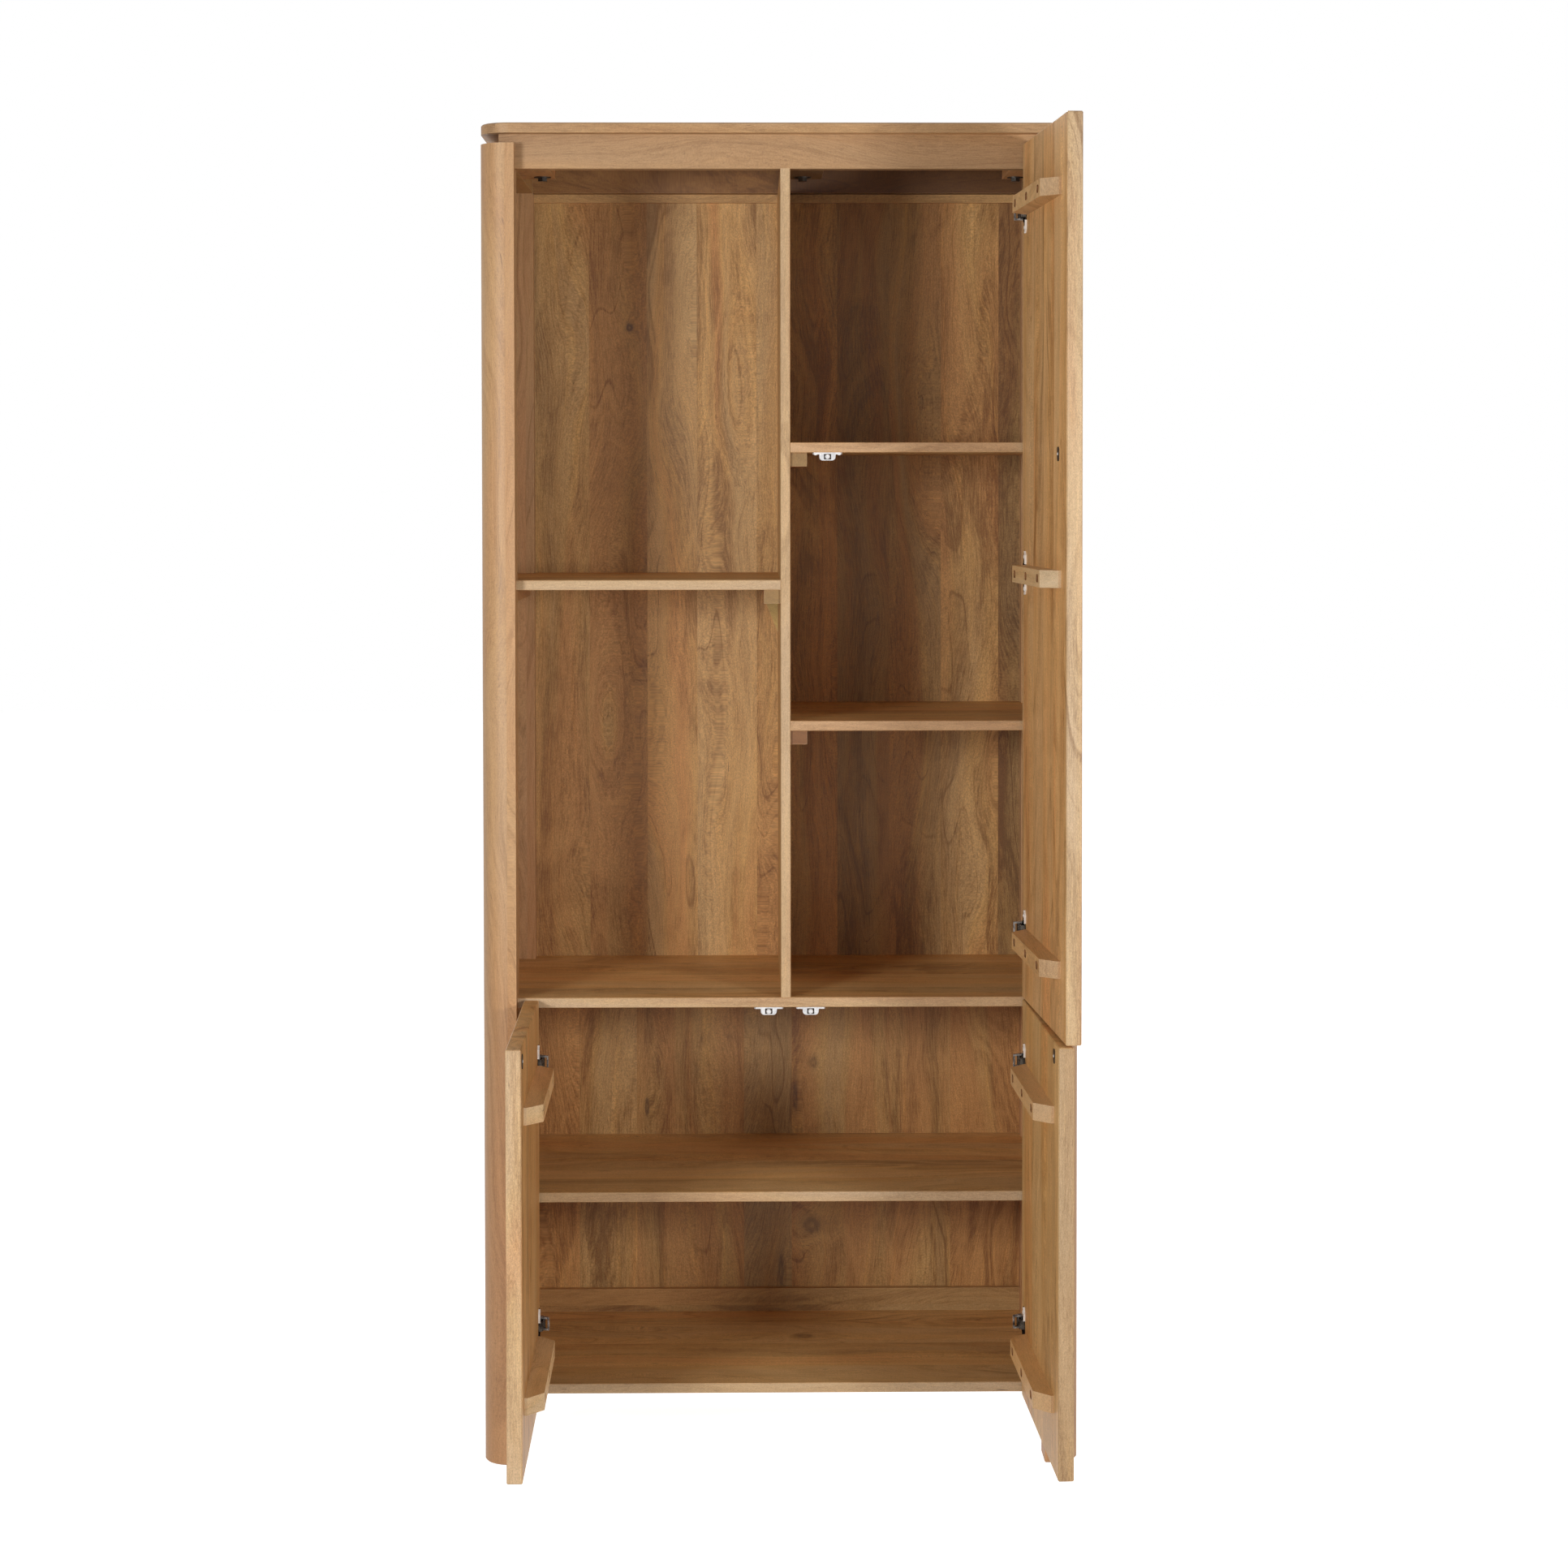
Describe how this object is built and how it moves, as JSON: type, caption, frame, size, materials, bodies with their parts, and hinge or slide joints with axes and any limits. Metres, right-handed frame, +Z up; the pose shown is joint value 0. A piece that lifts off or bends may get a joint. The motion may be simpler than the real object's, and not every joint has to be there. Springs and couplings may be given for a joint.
{
  "type": "tall cupboard",
  "caption": "Tall free-standing wooden cupboard with rounded corner posts, an open shelved niche and handleless push-to-open doors on concealed hinges over shelved compartments.",
  "frame": {"origin": "on the floor, under the middle of the cupboard's box with its doors open at rest", "axes": "+Z up; the front and its doors face -Y; +X is to the right of someone who faces the front"},
  "size_m": [0.9, 0.8242, 2.02],
  "materials": {
    "panel_wood": "satin lacquer",
    "frame_wood": "satin lacquer",
    "door_wood": "satin lacquer",
    "hinge_metal": "bright nickel plate",
    "latch_metal": "satin steel",
    "dark_steel": "dark plate"
  },
  "bodies": {
    "carcass": {"top_panel": "panel_wood", "neck_front_rail": "frame_wood", "neck_back_rail": "frame_wood", "neck_left_rail": "frame_wood", "neck_right_rail": "frame_wood", "front_left_post": "frame_wood", "front_right_post": "frame_wood", "rear_left_post": "frame_wood", "rear_right_post": "frame_wood", "left_side_panel": "panel_wood", "right_side_panel": "panel_wood", "back_panel": "panel_wood", "back_top_rail": "panel_wood", "back_bottom_rail": "panel_wood", "bottom_panel": "frame_wood", "mid_panel": "frame_wood", "lower_shelf": "frame_wood", "left_shelf": "frame_wood", "upper_right_shelf": "frame_wood", "middle_right_shelf": "frame_wood", "divider": "frame_wood", "left_shelf_cleats": "frame_wood", "upper_right_shelf_cleats": "frame_wood", "middle_right_shelf_cleats": "frame_wood", "lower_shelf_cleats": "frame_wood", "ceiling_blocks": "frame_wood", "top_washers": "dark_steel", "top_bolts": "dark_steel", "hinge_plates": "hinge_metal", "hinge_arms": "hinge_metal", "upper_right_latch_housing": "latch_metal", "lower_left_latch_housing": "latch_metal", "lower_right_latch_housing": "latch_metal"},
    "upper_right_door_links": {"upper_right_door_hinge_links": "hinge_metal"},
    "upper_right_door": {"upper_right_door": "door_wood", "upper_right_door_bottom_batten": "frame_wood", "upper_right_door_middle_batten": "frame_wood", "upper_right_door_top_batten": "frame_wood", "upper_right_door_strike": "dark_steel", "upper_right_door_hinge_cups": "hinge_metal", "upper_right_door_cup_pins": "hinge_metal"},
    "upper_right_latch_plunger": {"upper_right_latch_plunger": "latch_metal"},
    "lower_left_door_links": {"lower_left_door_hinge_links": "hinge_metal"},
    "lower_left_door": {"lower_left_door": "door_wood", "lower_left_door_bottom_batten": "frame_wood", "lower_left_door_top_batten": "frame_wood", "lower_left_door_strike": "dark_steel", "lower_left_door_hinge_cups": "hinge_metal", "lower_left_door_cup_pins": "hinge_metal"},
    "lower_left_latch_plunger": {"lower_left_latch_plunger": "latch_metal"},
    "lower_right_door_links": {"lower_right_door_hinge_links": "hinge_metal"},
    "lower_right_door": {"lower_right_door": "door_wood", "lower_right_door_bottom_batten": "frame_wood", "lower_right_door_top_batten": "frame_wood", "lower_right_door_strike": "dark_steel", "lower_right_door_hinge_cups": "hinge_metal", "lower_right_door_cup_pins": "hinge_metal"},
    "lower_right_latch_plunger": {"lower_right_latch_plunger": "latch_metal"}
  },
  "joints": [
    {"name": "upper_right_door_link_turn", "type": "hinge", "parent": "carcass", "child": "upper_right_door_links", "pos_m": [0.361, -0.0089, 1.34725], "axis": [0, 0, 1], "range_deg": [-1.7, 24.32]},
    {"name": "upper_right_door_swing", "type": "hinge", "parent": "upper_right_door_links", "child": "upper_right_door", "pos_m": [0.37376, -0.03167, 1.34725], "axis": [0, 0, 1], "range_deg": [-117.81, 8.19]},
    {"name": "upper_right_latch_push", "type": "slide", "parent": "carcass", "child": "upper_right_latch_plunger", "axis": [0, 1, 0], "range_m": [0, 0.003], "stiffness_N_per_m": 400, "springref_m": -0.006},
    {"name": "lower_left_door_link_turn", "type": "hinge", "parent": "carcass", "child": "lower_left_door_links", "pos_m": [-0.361, -0.0089, 0.40725], "axis": [0, 0, -1], "range_deg": [-2.74, 23.28]},
    {"name": "lower_left_door_swing", "type": "hinge", "parent": "lower_left_door_links", "child": "lower_left_door", "pos_m": [-0.37417, -0.03144, 0.40725], "axis": [0, 0, -1], "range_deg": [-112.77, 13.23]},
    {"name": "lower_left_latch_push", "type": "slide", "parent": "carcass", "child": "lower_left_latch_plunger", "axis": [0, 1, 0], "range_m": [0, 0.003], "stiffness_N_per_m": 400, "springref_m": -0.006},
    {"name": "lower_right_door_link_turn", "type": "hinge", "parent": "carcass", "child": "lower_right_door_links", "pos_m": [0.361, -0.0089, 0.40725], "axis": [0, 0, 1], "range_deg": [-2.09, 23.93]},
    {"name": "lower_right_door_swing", "type": "hinge", "parent": "lower_right_door_links", "child": "lower_right_door", "pos_m": [0.37391, -0.03159, 0.40725], "axis": [0, 0, 1], "range_deg": [-115.92, 10.08]},
    {"name": "lower_right_latch_push", "type": "slide", "parent": "carcass", "child": "lower_right_latch_plunger", "axis": [0, 1, 0], "range_m": [0, 0.003], "stiffness_N_per_m": 400, "springref_m": -0.006}
  ],
  "couplings": [
    {"joint": "upper_right_door_link_turn", "follows": "upper_right_door_swing", "ratio": -0.20635},
    {"joint": "lower_left_door_link_turn", "follows": "lower_left_door_swing", "ratio": -0.20635},
    {"joint": "lower_right_door_link_turn", "follows": "lower_right_door_swing", "ratio": -0.20635}
  ]
}
